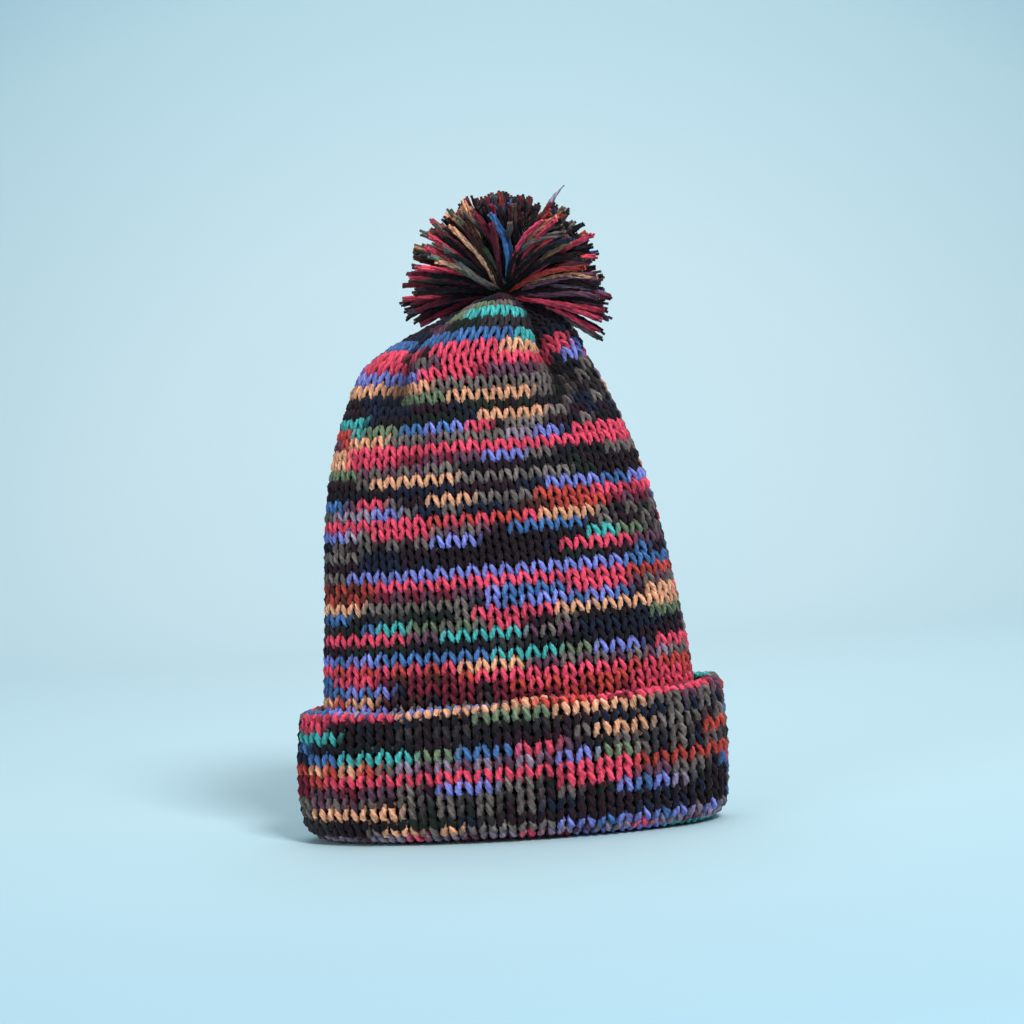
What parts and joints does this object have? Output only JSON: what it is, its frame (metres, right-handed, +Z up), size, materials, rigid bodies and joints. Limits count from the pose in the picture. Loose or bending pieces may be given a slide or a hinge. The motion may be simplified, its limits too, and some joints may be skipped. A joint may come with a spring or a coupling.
{
  "type": "pom pom beanie",
  "caption": "Double-layer knitted beanie with a turned-up cuff, gathered crown and a floppy cut-yarn pompom tied on top; worn on the head for warmth",
  "frame": {"origin": "bottom centre of the bounding box, on the surface that the cuff's foot stands on", "axes": "+Z up towards the pompom, front of the hat towards -Y, +X to the right as seen from the front"},
  "size_m": [0.228, 0.1026, 0.3399],
  "materials": {
    "body_knit": "variegated worsted acrylic yarn, stockinette knit, matt with a soft sheen",
    "lining_knit": "the same variegated knit, inside layer",
    "cuff_knit": "the same variegated knit, doubled and turned up, plump stitches",
    "cuff_backing_knit": "the same variegated knit, back of the turned-up cuff",
    "gather_yarn": "tail of the knitting yarn, plied, matt",
    "tie_yarn": "doubled yarn tail, twisted and knotted, matt",
    "pompom_core_yarn": "tightly bound strand middles, matt",
    "pompom_yarn": "cut variegated yarn strands with blooming plies, matt with a soft sheen",
    "loose_strand_yarn": "one long cut strand of the same yarn, lavender grey"
  },
  "bodies": {
    "hat": {"outer_shell": "body_knit", "lining": "lining_knit", "crown_gather_cord": "gather_yarn", "lining_gather_cord": "gather_yarn", "crown_closing_tail": "gather_yarn", "anchor_knot": "tie_yarn", "anchor_tail_left": "tie_yarn", "anchor_tail_right": "tie_yarn"},
    "cuff": {"cuff_face": "cuff_knit", "cuff_backing": "cuff_backing_knit"},
    "pompom_neck": {"pompom_neck_cord": "tie_yarn", "pompom_tie": "tie_yarn"},
    "pompom_middle": {"pompom_core": "pompom_core_yarn"},
    "pompom": {"pompom_tuft_01": "pompom_yarn", "pompom_tuft_02": "pompom_yarn", "pompom_tuft_03": "pompom_yarn", "pompom_tuft_04": "pompom_yarn", "pompom_tuft_05": "pompom_yarn", "pompom_tuft_06": "pompom_yarn", "pompom_tuft_07": "pompom_yarn", "pompom_tuft_08": "pompom_yarn", "pompom_tuft_09": "pompom_yarn", "pompom_tuft_10": "pompom_yarn", "pompom_tuft_11": "pompom_yarn", "pompom_tuft_12": "pompom_yarn", "pompom_tuft_13": "pompom_yarn", "pompom_tuft_14": "pompom_yarn", "pompom_tuft_15": "pompom_yarn", "pompom_tuft_16": "pompom_yarn", "pompom_tuft_17": "pompom_yarn", "pompom_tuft_18": "pompom_yarn", "pompom_tuft_19": "pompom_yarn", "pompom_tuft_20": "pompom_yarn", "pompom_loose_strand": "loose_strand_yarn"}
  },
  "joints": [
    {"name": "cuff_turn_down", "type": "slide", "parent": "hat", "child": "cuff", "axis": [0, 0, 1], "range_m": [-0.06, 0]},
    {"name": "pompom_twist", "type": "hinge", "parent": "hat", "child": "pompom_neck", "pos_m": [0.00925, 0, 0.2793], "axis": [0, 0, 1], "range_deg": [-45, 45]},
    {"name": "pompom_lean_side", "type": "hinge", "parent": "pompom_neck", "child": "pompom_middle", "pos_m": [0.00925, 0, 0.287], "axis": [0, 1, 0], "range_deg": [-15, 15]},
    {"name": "pompom_lean_front", "type": "hinge", "parent": "pompom_middle", "child": "pompom", "pos_m": [0.00925, 0, 0.287], "axis": [1, 0, 0], "range_deg": [-15, 15]}
  ]
}
